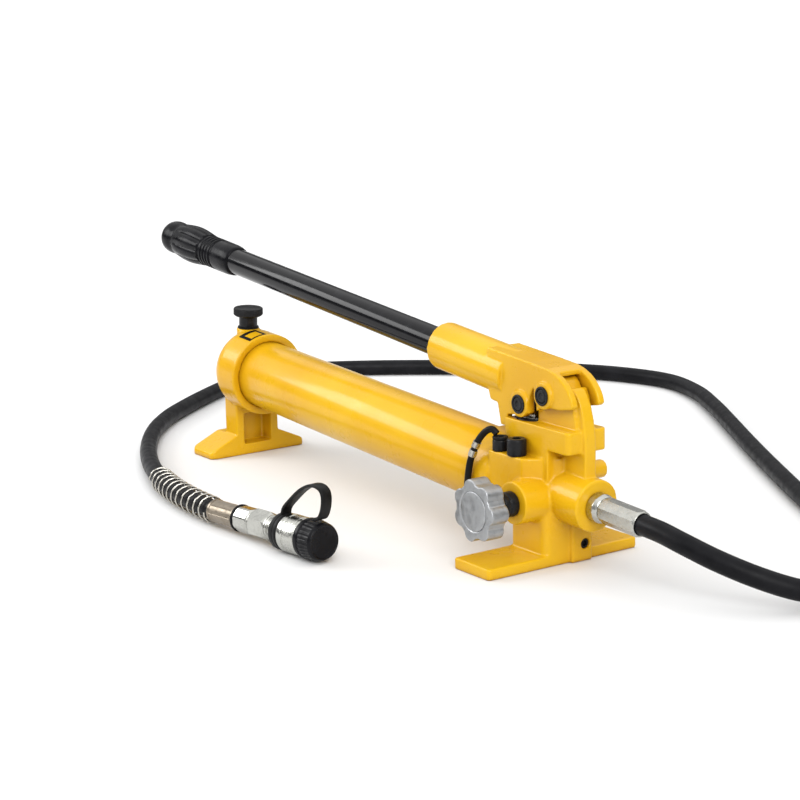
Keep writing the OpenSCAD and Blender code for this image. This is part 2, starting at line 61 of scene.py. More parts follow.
TANK_RISE = 3.3
HANDLE_RISE = 5.6
LINE_TURN = 4.2
LINE_TILT = -1.7
LINE_START = (-266, -178, 14.2)
FULCRUM = (11.6, 145)
DRIVE_PIN = (-20, 133)
HANDLE_Z = 146.3
HANDLE_REACH = 670
PIN_R = 6.2
TANK_BACK, TANK_FRONT, TANK_R, TANK_BORE_R = -478, -52, 34, 31
RELEASE_X, RELEASE_Z = 7.2, 56.5
VALVE_TOP = 92
RELIEF_Y = -29.5
REAR_PLUG_X, FRONT_PLUG_X = -33, -10.5
REAR_PLUG_H, FRONT_PLUG_H = 10, 14.5
FILLER_U, FILLER_W = -500, 42.2
OUTLET_FACE, STEM_START, STEM_END = 59, 71, 116
DISC_R = 17

# Along the coupler line
LOCK_AT, NUT_START, HEX_START, NECK_START = 40.5, 43, 66, 91
TETHER_AT, COLLAR_START, COLLAR_END = 105, 115.9, 140.6
CAP_START, CAP_END = 142, 164.5

HOSE_D = 18
HOSE_ROUTE = [
    (115.8, 0, 53.3), (139, 0, 51.8), (165, 2, 47), (193, 11, 38.5), (219, 29, 28), (238, 54, 18),
    (248, 84, 11.5), (247, 116, 9.3), (235, 146, 9.2), (214, 172, 9.2), (184, 195, 9.2), (135, 222, 9.2),
    (78, 251, 9.2), (18, 284, 9.2), (-48, 323, 9.2), (-114, 363, 9.2), (-180, 404, 9.2),
    (-246, 446, 9.2), (-312, 487, 9.2), (-380, 524, 9.2), (-448, 542, 9.2), (-517, 524, 9.2),
    (-582, 484, 9.2), (-644, 431, 9.2), (-701, 370, 9.2), (-748, 308, 9.2), (-780, 252, 9.2),
    (-789, 203, 9.2), (-777, 155, 9.2), (-751, 112, 9.2), (-722, 70, 9.2), (-690, 28, 9.2),
    (-652, -16, 9.2), (-604, -58, 9.2), (-544, -97, 9.4), (-477, -131, 10.6), (-405, -158, 12.7),
    (-336, -173, 13.5), (-266, -178, 14.2), (-228, -175.2, 15.3)]
GUARD_SPANS = (36, 38)


def place(x, y, z, rise=0.0, turn=0.0):
    """A frame in metres whose X axis rises towards -X by 'rise' degrees and is turned about Z."""
    turned_to = Euler((0, math.radians(rise), math.radians(turn))).to_matrix().to_4x4()
    return Matrix.Translation(Vector((x, y, z)) * MM) @ turned_to @ Matrix.Scale(MM, 4)


PUMP = place(0, 0, 0)
TANK = place(0, 0, 60, rise=TANK_RISE)
HANDLE = place(FULCRUM[0], 0, HANDLE_Z, rise=HANDLE_RISE)
LINE = place(*LINE_START, rise=LINE_TILT, turn=LINE_TURN)


def across(x, z):
    """A frame whose X axis runs along the pump's +Y, through x and z."""
    turned_to = Matrix.Rotation(math.pi / 2, 4, "Z")
    return Matrix.Translation(Vector((x, 0, z)) * MM) @ turned_to @ Matrix.Scale(MM, 4)


def upright(x, y, z, base=PUMP):
    """A frame whose X axis runs up from a point of 'base'."""
    return base @ Matrix.Translation((x, y, z)) @ Matrix.Rotation(-math.pi / 2, 4, "Y")


# ------------------------------------------------------------------ camera

CAMERA_AT = (1317.2, -1073.8, 508.5)
CAMERA_AZIMUTH, CAMERA_ELEVATION, CAMERA_ROLL = 55.13, 12.41, -1.05
FOCAL_PX, FRAME_PX, SENSOR = 2056.14, 800, 36.0
CENTRE_PX = (400.05, 404.51)
VIEW_REACH = 30


def make_camera():
    """The camera fitted to the photo: its place, angles and focal length."""
    az, el, roll = (math.radians(a) for a in (CAMERA_AZIMUTH, CAMERA_ELEVATION, CAMERA_ROLL))
    back = Vector((math.sin(az) * math.cos(el), -math.cos(az) * math.cos(el), math.sin(el)))
    level_right = (-back).cross(Vector((0, 0, 1))).normalized()
    level_up = level_right.cross(-back)
    right = level_right * math.cos(roll) + level_up * math.sin(roll)
    up = level_up * math.cos(roll) - level_right * math.sin(roll)
    data = bpy.data.cameras.new("photo_camera")
    data.sensor_width = SENSOR
    data.lens = FOCAL_PX / FRAME_PX * SENSOR
    data.shift_x = (FRAME_PX / 2 - CENTRE_PX[0]) / FRAME_PX
    data.shift_y = (CENTRE_PX[1] - FRAME_PX / 2) / FRAME_PX
    data.clip_end = VIEW_REACH
    camera = bpy.data.objects.new("photo_camera", data)
    facing = Matrix((right, up, back)).transposed().to_4x4()
    camera.matrix_world = Matrix.Translation(Vector(CAMERA_AT) * MM) @ facing
    bpy.context.scene.collection.objects.link(camera)
    bpy.context.scene.camera = camera


make_camera()

# ------------------------------------------------------------------ mesh tools


def new_object(name, verts, faces, sharp=35):
    """An object from points in metres, smooth except over edges sharper than 'sharp' degrees."""
    mesh = bpy.data.meshes.new(name)
    mesh.from_pydata([tuple(v) for v in verts], [], faces)
    mesh.validate()
    bm = bmesh.new()
    bm.from_mesh(mesh)
    bmesh.ops.remove_doubles(bm, verts=bm.verts, dist=1e-7)
    bmesh.ops.recalc_face_normals(bm, faces=bm.faces)
    bm.to_mesh(mesh)
    bm.free()
    mesh.shade_smooth()
    mesh.set_sharp_from_angle(angle=math.radians(sharp))
    obj = bpy.data.objects.new(name, mesh)
    bpy.context.scene.collection.objects.link(obj)
    return obj


# A rounded corner takes just under half of each side, so that two corners never meet
NEARLY_HALF = 0.48


def eased(outline, radius, steps=3, closed=False):
    """The outline with each corner rounded. A point may carry its own radius as a third number."""
    n = len(outline)
    found = []
    for i, point in enumerate(outline):
        here = Vector(point[:2])
        r = point[2] if len(point) > 2 else radius
        if (not closed and i in (0, n - 1)) or r <= 0:
            found.append(tuple(here))
            continue
        before, after = Vector(outline[i - 1][:2]), Vector(outline[(i + 1) % n][:2])
        r_in = min(r, (before - here).length * NEARLY_HALF)
        r_out = min(r, (after - here).length * NEARLY_HALF)
        a = here + (before - here).normalized() * r_in
        b = here + (after - here).normalized() * r_out
        for k in range(steps + 1):
            t = k / steps
            found.append(tuple(a * (1 - t) ** 2 + here * 2 * t * (1 - t) + b * t ** 2))
    return found


def polygonal(flats, sides=6):
    """Cuts a round bar down to a polygon of that width across flats, one flat facing the frame's Y."""
    part = math.pi / sides
    return lambda a, x, r: min(r, flats / 2 / math.cos((a + part) % (2 * part) - part))


def turned(name, base, outline, section=None, sides=96, ease=0.4, ring=False, sharp=35):
    """A solid of revolution about X. outline is (x, radius) from end to end, or round a ring's section.
    section(angle, x, radius) gives the radius at that angle, as for a hexagon or a knurl."""
    points = eased(outline, ease, closed=ring)
    verts, rows = [], []
    for x, r in points:
        if r < 1e-4:
            rows.append([len(verts)] * sides)
            verts.append((x, 0, 0))
            continue
        rows.append(range(len(verts), len(verts) + sides))
        for k in range(sides):
            a = 2 * math.pi * k / sides
            cut = section(a, x, r) if section else r
            verts.append((x, cut * math.cos(a), cut * math.sin(a)))
    faces = []
    pairs = list(zip(rows, rows[1:])) + ([(rows[-1], rows[0])] if ring else [])
    for low, high in pairs:
        for k in range(sides):
            m = (k + 1) % sides
            loop = []
            for v in (low[k], low[m], high[m], high[k]):
                if v not in loop:
                    loop.append(v)
            if len(loop) > 2:
                faces.append(loop)
    return new_object(name, [base @ Vector(v) for v in verts], faces, sharp)


def smooth_route(points, per_span):
    """Points on the smooth curve through the route, as the CAD model has it."""
    pts = [Vector(p) for p in points]
    n = len(pts) - 1
    found = []
    for i in range(n):
        p0, p1, p2, p3 = pts[max(i - 1, 0)], pts[i], pts[i + 1], pts[min(i + 2, n)]
        for k in range(per_span):
            t = k / per_span
            found.append(0.5 * (2 * p1 + (p2 - p0) * t + (2 * p0 - 5 * p1 + 4 * p2 - p3) * t * t
                                + (3 * p1 - p0 - 3 * p2 + p3) * t ** 3))
    return found + [pts[-1]]


def frames_along(points, up):
    """Tangent, side and up vectors at each point of a route, carried along without twisting."""
    found = []
    for i, p in enumerate(points):
        d = (points[min(i + 1, len(points) - 1)] - points[max(i - 1, 0)]).normalized()
        side = d.cross(up).normalized()
        up = side.cross(d).normalized()
        found.append((p, d, side, up))
    return found


def swept(name, points, section, up=Vector((0, 0, 1)), base=PUMP, along_uv=False):
    """A section, as (side, up) offsets, swept along a route.
    along_uv stores the way round and along as UVs."""
    rows = frames_along(points, up)
    n = len(section)
    verts = [base @ (p + side * s + high * u) for p, d, side, high in rows for s, u in section]
    faces = [[n * i + k, n * i + (k + 1) % n, n * (i + 1) + (k + 1) % n, n * (i + 1) + k]
             for i in range(len(rows) - 1) for k in range(n)]
    faces += [list(range(n))[::-1], [n * (len(rows) - 1) + k for k in range(n)]]
    obj = new_object(name, verts, faces, sharp=60)
    if along_uv:
        way = np.zeros(len(points))
        way[1:] = np.cumsum([(b - a).length for a, b in zip(points, points[1:])])
        uv = obj.data.uv_layers.new(name="along")
        for poly in obj.data.polygons:
            ks = [obj.data.loops[i].vertex_index % n for i in poly.loop_indices]
            wrap = max(ks) - min(ks) > n / 2
            for i, k in zip(poly.loop_indices, ks):
                row = obj.data.loops[i].vertex_index // n
                uv.data[i].uv = ((k + (n if wrap and k < n / 2 else 0)) / n, way[row] / 100)
    return obj


def circle(r, n):
    """Section of a round bar, with n sides."""
    return [(r * math.cos(2 * math.pi * k / n), r * math.sin(2 * math.pi * k / n)) for k in range(n)]


def flat_band(w, t, ease=0.5):
    """Section of a flat band of width w and thickness t with round edges."""
    return eased([(-w / 2, -t / 2), (w / 2, -t / 2), (w / 2, t / 2), (-w / 2, t / 2)], ease, 3, closed=True)


def applied(obj):
    """Turns the object's modifiers into its mesh."""
    bpy.context.view_layer.update()
    graph = bpy.context.evaluated_depsgraph_get()
    mesh = bpy.data.meshes.new_from_object(obj.evaluated_get(graph), depsgraph=graph)
    obj.modifiers.clear()
    obj.data = mesh


def copied(node, name):
    """A new object with the CAD node's mesh, its points welded."""
    mesh = frame["nodes"][node].data.copy()
    mesh.name = name
    bm = bmesh.new()
    bm.from_mesh(mesh)
    bmesh.ops.remove_doubles(bm, verts=bm.verts, dist=2e-6)
    bm.to_mesh(mesh)
    bm.free()
    obj = bpy.data.objects.new(name, mesh)
    for key in list(obj.keys()):
        del obj[key]
    obj.data.materials.clear()
    bpy.context.scene.collection.objects.link(obj)
    return obj


def cast_from(node, name, voxel, passes):
    """A casting's skin: the CAD node remeshed finely and softened, so that its corners get cast radii."""
    obj = copied(node, name)
    skin = obj.modifiers.new("skin", "REMESH")
    skin.mode = "VOXEL"
    skin.voxel_size = voxel * MM
    soften = obj.modifiers.new("soften", "SMOOTH")
    soften.factor = 0.5
    soften.iterations = passes
    applied(obj)
    obj.data.shade_smooth()
    return obj


def joined(name, objects):
    """One object from several, whose own objects go away."""
    bm = bmesh.new()
    for obj in objects:
        bm.from_mesh(obj.data)
    mesh = bpy.data.meshes.new(name)
    bm.to_mesh(mesh)
    bm.free()
    for obj in objects:
        bpy.data.objects.remove(obj)
    whole = bpy.data.objects.new(name, mesh)
    bpy.context.scene.collection.objects.link(whole)
    return whole


def carry(obj, body, slot, *nodes):
    """The piece rides on a body, stands for CAD nodes and takes its finish from a slot of the record."""
    if body:
        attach(obj, body)
    if nodes:
        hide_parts(*nodes)
    obj.data.materials.clear()
    obj.data.materials.append(FINISH[slot])
    return obj


# ------------------------------------------------------------------ materials


class Tree:
    """The nodes of a material or of the world, built from noise, colour ramps and mixes."""

    def __init__(self, owner, space):
        owner.use_nodes = True
        self.nodes, self.links = owner.node_tree.nodes, owner.node_tree.links
        self.where = self.add("TexCoord").outputs[space]

    def add(self, kind, **inputs):
        """A new node of that kind, with its named inputs linked or set."""
        node = self.nodes.new("ShaderNode" + kind)
        for key, value in inputs.items():
            self.feed(node.inputs[key], value)
        return node

    def feed(self, socket, value):
        """Links an input to another node's socket, or sets it to a number, a vector or a colour."""
        if isinstance(value, bpy.types.NodeSocket):
            self.links.new(value, socket)
        else:
            socket.default_value = (*value, 1) if socket.type == "RGBA" else value

    def noise(self, scale, detail=3, rough=0.5):
        """Noise at 'scale' per metre."""
        node = self.add("TexNoise", Vector=self.where, Scale=scale, Detail=detail, Roughness=rough)
        return node.outputs["Fac"]

    def ramp(self, fac, *stops):
        """A colour ramp; stops are (place, grey or colour)."""
        node = self.add("ValToRGB", Fac=fac)
        elements = node.color_ramp.elements
        while len(elements) < len(stops):
            elements.new(0.5)
        for element, (at, colour) in zip(elements, stops):
            element.position = at
            rgb = colour if hasattr(colour, "__len__") else (colour, colour, colour)
            element.color = (*rgb, 1)
        return node.outputs["Color"]

    def patches(self, scale, detail, *stops, rough=0.5):
        """Noise through a colour ramp."""
        return self.ramp(self.noise(scale, detail, rough), *stops)

    def mixed(self, fac, a, b, kind="MIX"):
        """Two colours mixed. fac, a and b are sockets or values."""
        node = self.nodes.new("ShaderNodeMix")
        node.data_type = "RGBA"
        node.blend_type = kind
        for index, value in ((0, fac), (6, a), (7, b)):
            self.feed(node.inputs[index], value)
        return node.outputs[2]

    def times(self, a, b):
        """Two colours multiplied."""
        return self.mixed(1.0, a, b, "MULTIPLY")


class Material(Tree):
    """A material with its Principled shader."""

    def __init__(self, name, **values):
        self.material = bpy.data.materials.new(name)
        super().__init__(self.material, "Object")
        self.set(**values)

    def set(self, **values):
        """Links or sets inputs of the Principled shader. A name has _ for each space."""
        for key, value in values.items():
            self.feed(self.nodes["Principled BSDF"].inputs[key.replace("_", " ")], value)

    def bumps(self, *layers):
        """Bump from several heights; layers are (height socket, strength, distance in mm)."""
        last = None
        for height, strength, distance in layers:
            node = self.add("Bump", Height=height, Strength=strength, Distance=distance * MM)
            if last:
                self.links.new(last, node.inputs["Normal"])
            last = node.outputs["Normal"]
        self.set(Normal=last)


def scaled(colour, factor):
    return tuple(c * factor for c in colour)


YELLOW = (0.62, 0.345, 0.006)
YELLOW_DEEP = (0.56, 0.29, 0.004)
YELLOW_PALE = (0.68, 0.42, 0.014)
SOOT = (0.10, 0.06, 0.015)
# How strongly the sharp edges of castings take the painted highlight
EDGE_HIGHLIGHT_STRENGTH = (0.35, 0.35, 0.35)
# Painted shade for castings: the brown it takes in corners and recesses, and how far the occlusion looks for them
PAINTED_SHADE_BROWN = (0.52, 0.36, 0.2)
PAINTED_SHADE_REACH = 12


def paint(name, cast):
    """Glossy yellow enamel. Over a casting it is wavy, with a painted highlight of paler yellow on its sharp edges and
    painted shade, brown, in its corners and recesses.
    """
    m = Material(name, Roughness=0.36, Specular_IOR_Level=0.12, Coat_Weight=0.25, Coat_Roughness=0.12)
    tone = m.patches(9, 2, (0.25, YELLOW_DEEP), (0.5, YELLOW), (0.85, YELLOW_PALE))
    if cast:
        # Painted highlight: sharp convex edges are mixed towards the paler yellow.
        edge_highlight_mask = m.ramp(m.add("NewGeometry").outputs["Pointiness"], (0.515, 0.0), (0.57, 1.0))
        tone = m.mixed(m.times(edge_highlight_mask, EDGE_HIGHLIGHT_STRENGTH), tone, YELLOW_PALE)
        # Painted shade: where ambient occlusion finds nearby surfaces, in corners, recesses and under parts, the paint
        # is browned in patches.
        shade = m.add("AmbientOcclusion", Distance=PAINTED_SHADE_REACH * MM)
        shade.samples = 4
        corner = m.ramp(shade.outputs["AO"], (0.3, 1.0), (0.72, 0.0))
        patchy = m.patches(160, 5, (0.35, 0.6), (0.65, 0.95))
        tone = m.mixed(m.times(corner, patchy), tone, m.times(tone, PAINTED_SHADE_BROWN))
    specks = m.patches(900, 2, (0.71, 0.0), (0.75, 0.4))
    m.set(Base_Color=m.mixed(specks, tone, SOOT), Roughness=m.patches(45, 4, (0.3, 0.24), (0.7, 0.38)))
    peel = m.noise(420, 2)
    if cast:
        m.bumps((m.noise(60, 2), 0.5, 0.9), (peel, 0.35, 0.25), (m.noise(1500), 0.12, 0.08))
    else:
        m.bumps((m.noise(22, 2), 0.25, 0.6), (peel, 0.2, 0.15))
    return m.material


def metal(name, colour, rough, dull, bump=0.15):
    """Bare or plated metal, clouded, with dull patches and fine marks."""
    m = Material(name, Metallic=1.0, Roughness=rough)
    cloud = m.patches(70, 5, (0.3, scaled(colour, 0.86)), (0.62, colour), rough=0.6)
    film = m.patches(260, 4, (0.5, 0.0), (0.75, dull))
    m.set(Base_Color=m.mixed(film, cloud, scaled(colour, 0.35)),
          Roughness=m.patches(180, 4, (0.3, rough * 0.75), (0.7, min(1, rough * 1.5))))
    m.bumps((m.noise(900, 2), bump, 0.05), (m.noise(240), bump * 0.6, 0.08))
    return m.material


def coated(name, colour, rough):
    """Black coating over metal: smooth and glossy, with fine handling marks and worn spots."""
    m = Material(name, Roughness=rough, Coat_Weight=0.22, Coat_Roughness=0.08, Specular_IOR_Level=0.07)
    m.set(Base_Color=m.patches(75, 6, (0.55, colour), (0.8, scaled(colour, 3)), rough=0.65),
          Roughness=m.patches(130, 4, (0.3, rough * 0.8), (0.7, rough * 1.5)))
    m.bumps((m.noise(700, 2), 0.1, 0.05), (m.noise(60, 2), 0.1, 0.2))
    return m.material


def rubber(name, colour, rough, gloss=0.3):
    """Moulded rubber or plastic: dull, faintly dusty, with a fine grain."""
    m = Material(name, Roughness=rough, Specular_IOR_Level=gloss)
    dusty = tuple(c * 2.1 + 0.004 for c in colour)
    m.set(Base_Color=m.patches(55, 6, (0.42, colour), (0.8, dusty), rough=0.65),
          Roughness=m.patches(120, 4, (0.3, rough - 0.1), (0.7, rough + 0.12)))
    m.bumps((m.noise(1300), 0.25, 0.06), (m.noise(130), 0.15, 0.15))
    return m.material


def hose_cover():
    """Black rubber cover with the imprint of the cloth it was cured in, a diagonal weave along the hose."""
    m = Material("hose_cover", Roughness=0.4, Specular_IOR_Level=0.1)
    uv = m.add("UVMap")
    uv.uv_map = "along"
    weave = []
    for turn in (1, -1):
        mapping = m.add("Mapping", Vector=uv.outputs["UV"], Scale=(26, 46 * turn, 1))
        wave = m.add("TexWave", Vector=mapping.outputs["Vector"], Scale=1)
        wave.wave_type = "BANDS"
        wave.bands_direction = "DIAGONAL"
        weave.append((wave.outputs["Fac"], 0.12, 0.12))
    m.set(Base_Color=m.patches(38, 6, (0.4, (0.004, 0.004, 0.005)), (0.8, (0.01, 0.01, 0.012)), rough=0.65),
          Roughness=m.patches(90, 4, (0.3, 0.34), (0.7, 0.52)))
    m.bumps(*weave, (m.noise(900), 0.2, 0.08))
    return m.material


FINISH = {
    "yellow_paint": paint("yellow_enamel_cast", cast=True),
    "handle_black": coated("black_handle_coat", (0.004, 0.004, 0.005), 0.16),
    "black_steel": coated("blackened_steel", (0.008, 0.008, 0.009), 0.34),
    "grip_plastic": rubber("moulded_grip", (0.003, 0.003, 0.004), 0.24, 0.08),
    "zinc_steel": metal("zinc_plate", (0.52, 0.50, 0.45), 0.24, dull=0.25),
    "bright_steel": metal("nickel_plate", (0.49, 0.49, 0.455), 0.2, dull=0.25),
    "knob_cast": metal("tumbled_aluminium", (0.40, 0.41, 0.42), 0.40, dull=0.35, bump=0.35),
    "black_rubber": rubber("black_rubber", (0.005, 0.005, 0.005), 0.45, 0.12),
    "seal_rubber": rubber("nitrile", (0.006, 0.006, 0.006), 0.45, 0.15),
    # Bright steel given a tan colour all over: painted reflection of the yellow paint around it.
    "ferrule_tan": metal("steel_with_painted_reflection", (0.30, 0.255, 0.20), 0.34, dull=0.4),
    "cap_plastic": rubber("moulded_cap", (0.004, 0.004, 0.005), 0.3, 0.12),
    "ptfe": rubber("ptfe", (0.55, 0.54, 0.50), 0.5),
}
TUBE_PAINT = paint("yellow_enamel_tube", cast=False)

# ------------------------------------------------------------------ hose and what is on its end

hose_line = smooth_route(HOSE_ROUTE, 8)
hose = swept("hose_tube", hose_line, circle(HOSE_D / 2 - 0.15, 28), along_uv=True)
carry(hose, "pump", "black_rubber", "hose")
hose.data.materials[0] = hose_cover()

GUARD_TURNS, GUARD_STEPS, GUARD_OD, GUARD_WIRE, GUARD_FINE = 12, 28, 24.8, 1.9, 60
guard_first, guard_last = (span * GUARD_FINE for span in GUARD_SPANS)
guard_line = smooth_route(HOSE_ROUTE, GUARD_FINE)[guard_first:guard_last]
guard_route = frames_along(guard_line, Vector((0, 0, 1)))


def helix_points():
    """The guard's wire, wound round the hose's own route."""
    total = GUARD_TURNS * GUARD_STEPS
    r = (GUARD_OD - GUARD_WIRE) / 2
    found = []
    for i in range(total + 1):
        p, d, side, up = guard_route[round(i / total * (len(guard_route) - 1))]
        a = 2 * math.pi * i / GUARD_STEPS
        found.append(p + r * (math.cos(a) * side + math.sin(a) * up))
    return found


guard = swept("guard_coil", helix_points(), circle(GUARD_WIRE / 2, 8), up=guard_route[0][1])
carry(guard, "pump", "zinc_steel", "spring_guard")


def crimped(a, x, r):
    """Eight pressed faces of a crimped ferrule, with ridges between them."""
    face = (a * 8 / (2 * math.pi)) % 1.0
    return r - 0.5 * (1 - abs(2 * face - 1) ** 6) if 3.9 < x < LOCK_AT - 3 and r > 10.5 else r


ferrule = turned("crimp_ferrule", LINE,
                 [(38.5, 0), (38.5, 9.05, 0), (0.4, 9.05, 0), (0, 9.4), (0, 10.3), (1.2, 11), (3.4, 11),
                  (4, 11), (LOCK_AT - 3.1, 11), (LOCK_AT - 2.4, 11), (LOCK_AT, 10.7), (LOCK_AT, 0)],
                 crimped, sides=192, ease=0.4)
carry(ferrule, "pump", "ferrule_tan", "hose_ferrule")

ring = turned("lock_o_ring", LINE, [(LOCK_AT, 9), (LOCK_AT, 12.7), (NUT_START, 12.7), (NUT_START, 9)],
              ring=True, ease=1.0)
carry(ring, "pump", "black_rubber", "lock_ring")

nut = turned("swivel_nut_piece", LINE,
             [(NUT_START, 0), (NUT_START, 11.0), (NUT_START + 1.4, 12.2), (HEX_START - 4, 12.2),
              (HEX_START - 2, 11.2), (HEX_START - 1.6, 10.2), (HEX_START, 10.2), (HEX_START, 0)],
             polygonal(23.2, 8), sides=144, ease=0.5)
carry(nut, "pump", "bright_steel", "swivel_nut")

end_hex = turned("coupler_hexagon", LINE,
                 [(HEX_START, 0), (HEX_START, 11.6), (HEX_START + 2.4, 13.9), (NECK_START - 3.2, 13.9),
                  (NECK_START - 0.4, 11.8), (NECK_START, 10.8), (NECK_START, 0)],
                 polygonal(24), sides=144, ease=0.3)
carry(end_hex, "pump", "bright_steel", "end_hexagon")

SEAT_START, SEAT_END, SEAT_R = 104.6, 141.3, 13
NOSE_END, NOSE_R, BORE_END, BORE_R = 161, 10.5, 132, 5


def neck_outline():
    """Threaded neck, the collar's seat and the nose under the dust cap."""
    found = [(NECK_START, 0), (NECK_START, 11.4)]
    for turn in range(6):
        x = NECK_START + 1.0 + 2.2 * turn
        found += [(x, 10.3, 0.3), (x + 0.5, 11.5, 0.3), (x + 1.3, 11.5, 0.3), (x + 1.8, 10.3, 0.3)]
    return found + [(SEAT_START, 11.5), (SEAT_START, SEAT_R), (SEAT_END, SEAT_R), (SEAT_END, NOSE_R),
                    (159.5, NOSE_R), (NOSE_END, 9.5), (NOSE_END, BORE_R), (BORE_END, BORE_R), (BORE_END, 0)]


neck = turned("coupler_neck", LINE, neck_outline(), ease=0.3)
carry(neck, "pump", "bright_steel", "coupler_body")

KNURL_FROM, KNURL_TO = COLLAR_START + 9.4, COLLAR_END - 5


def knurl(a, x, r):
    """Diamond knurl on the middle of the collar."""
    if not KNURL_FROM < x < KNURL_TO or r < 15:
        return r
    u, v = a * 24, (x - KNURL_FROM) * 1.5
    return r - 0.35 * (1 - abs(math.sin(u + v)) ** 0.7 * abs(math.sin(u - v)) ** 0.7)


knurl_rows = [(KNURL_FROM + 0.5 * k, 17.2, 0) for k in range(1, int((KNURL_TO - KNURL_FROM) * 2))]
collar = turned("sleeve_collar", LINE,
                [(COLLAR_START, 13.2), (COLLAR_START, 16.2), (COLLAR_START + 1.6, 17.2),
                 (COLLAR_START + 6, 17.2), (COLLAR_START + 6.6, 16.3), (COLLAR_START + 8.6, 16.3),
                 (COLLAR_START + 9.2, 17.2), (KNURL_FROM, 17.2), *knurl_rows, (KNURL_TO, 17.2), (KNURL_TO + 0.6, 16.5),
                 (KNURL_TO + 1.6, 16.5), (KNURL_TO + 2.2, 17.2), (COLLAR_END - 1, 17.2), (COLLAR_END, 16.4),
                 (COLLAR_END, 13.2)],
                knurl, sides=240, ease=0.25, ring=True)
carry(collar, "collar", "bright_steel", "coupler_collar")

strap_ring = turned("cap_ring_piece", LINE,
                    [(TETHER_AT, 13.1), (TETHER_AT, 16.9), (TETHER_AT + 5, 16.9, 0.4),
                     (TETHER_AT + 5.5, 16.5, 0.4), (TETHER_AT + 6.5, 16.5, 0.4), (TETHER_AT + 7, 16.9, 0.4),
                     (TETHER_AT + 10.5, 16.9), (TETHER_AT + 10.5, 13.1)], ring=True, ease=1.4)
carry(strap_ring, "pump", "black_rubber", "cap_ring")


def grip_ribs(a, x, r):
    """Short ribs round the tapered side of the dust cap."""
    return r - 0.5 * abs(math.sin(17 * a)) if CAP_START + 6 < x < CAP_END - 3 and r > 15.5 else r


# The cap's outside only: it has no inner wall, so it is open at its mouth
cap = turned("dust_cap_shell", LINE,
             [(CAP_START, 13.3), (CAP_START, 17.2), (CAP_START + 1.2, 18.15), (CAP_START + 5, 18.15),
              (CAP_START + 5.6, 17.6, 0.3), (CAP_START + 6.4, 17.6, 0.3), (CAP_START + 7, 18.1, 0.3),
              (CAP_START + 11, 18.1), (CAP_END - 2.5, 16.7, 1), (CAP_END, 15.4, 1.2), (CAP_END, 14.4),
              (CAP_END - 0.5, 13.8), (CAP_END - 0.5, 0)],
             grip_ribs, sides=288, ease=0.4)
carry(cap, "cap", "cap_plastic", "dust_cap")

STRAP_LINE = [(110.2, 0, 15.8), (113, 0, 22.5), (123.9, 0, 31.8), (134.4, 0, 39.8), (143.4, 0, 45),
              (152.5, 0, 48.3), (161, 0, 48.8), (167.5, 0, 46.3), (170, 0, 41), (169.3, 0, 33.4),
              (166.4, 0, 26), (162.5, 0, 21.4), (157, 0, 19.8)]
strap = swept("cap_strap_loop", smooth_route(STRAP_LINE, 5), flat_band(2.8, 10.5, 0.9),
              up=Vector((0, 1, 0)), base=LINE)
carry(strap, None, "black_rubber", "cap_strap")
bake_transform(strap)

# ------------------------------------------------------------------ outlet

adapter = turned("outlet_nut", TANK,
                 [(OUTLET_FACE, 0), (OUTLET_FACE, 12.0), (OUTLET_FACE + 1, 12.6), (STEM_START - 4, 12.6),
                  (STEM_START - 1.2, 11.6), (STEM_START, 10.6), (STEM_START, 0)], ease=0.5)
carry(adapter, "pump", "bright_steel", "outlet_adapter")
stem = turned("hose_stem_piece", TANK,
              [(STEM_START, 0), (STEM_START, 10.0), (STEM_START + 1.6, 11.7), (STEM_END - 2.6, 11.7),
               (STEM_END - 1, 10.6), (STEM_END, 10.2), (STEM_END, 9.1), (STEM_END - 2, 9.0, 0.2),
               (STEM_END - 2, 0)],
              polygonal(21.2, 8), sides=192, ease=0.3)
carry(stem, "pump", "bright_steel", "hose_stem")

# ------------------------------------------------------------------ castings and reservoir

for node, name, body, voxel in (("pump_head", "head_casting", "pump", 1.1),
                                ("rear_cap", "rear_cap_casting", "pump", 1.1),
                                ("lever_yoke", "yoke_casting", "lever", 0.9)):
    carry(cast_from(node, name, voxel, 6), body, "yellow_paint", node)

tube = turned("reservoir_tube", TANK,
              [(TANK_BACK, TANK_BORE_R), (TANK_BACK, TANK_R), (TANK_FRONT, TANK_R),
               (TANK_FRONT, TANK_BORE_R)],
              sides=192, ring=True, ease=0.6)
carry(tube, "pump", "yellow_paint", "tank_tube")
tube.data.materials[0] = TUBE_PAINT

# ------------------------------------------------------------------ lever

ROD_END, ROD_ROOT, ROD_R, ROD_BORE_R = 8 - HANDLE_REACH, -76, 13.35, 10.9
rod = turned("handle_tube", HANDLE,
             [(ROD_END, ROD_BORE_R), (ROD_END, ROD_R), (ROD_ROOT, ROD_R), (ROD_ROOT, ROD_BORE_R)],
             sides=128, ring=True, ease=0.6)
carry(rod, "lever", "handle_black", "handle_rod")

GRIP_START, GRIP_END, BARREL_STEPS = 31, 84, 26


def lobes(a, x, r):
    """Eight long lobes on the barrel of the grip, which fade out at both ends."""
    x += HANDLE_REACH
    if not GRIP_START < x < GRIP_END:
        return r
    rise = min(1, (x - GRIP_START) / 14) * min(1, (GRIP_END - x) / 2.5)
    return r - 2.0 * rise * (1 - abs(math.sin(4 * a)) ** 0.75)


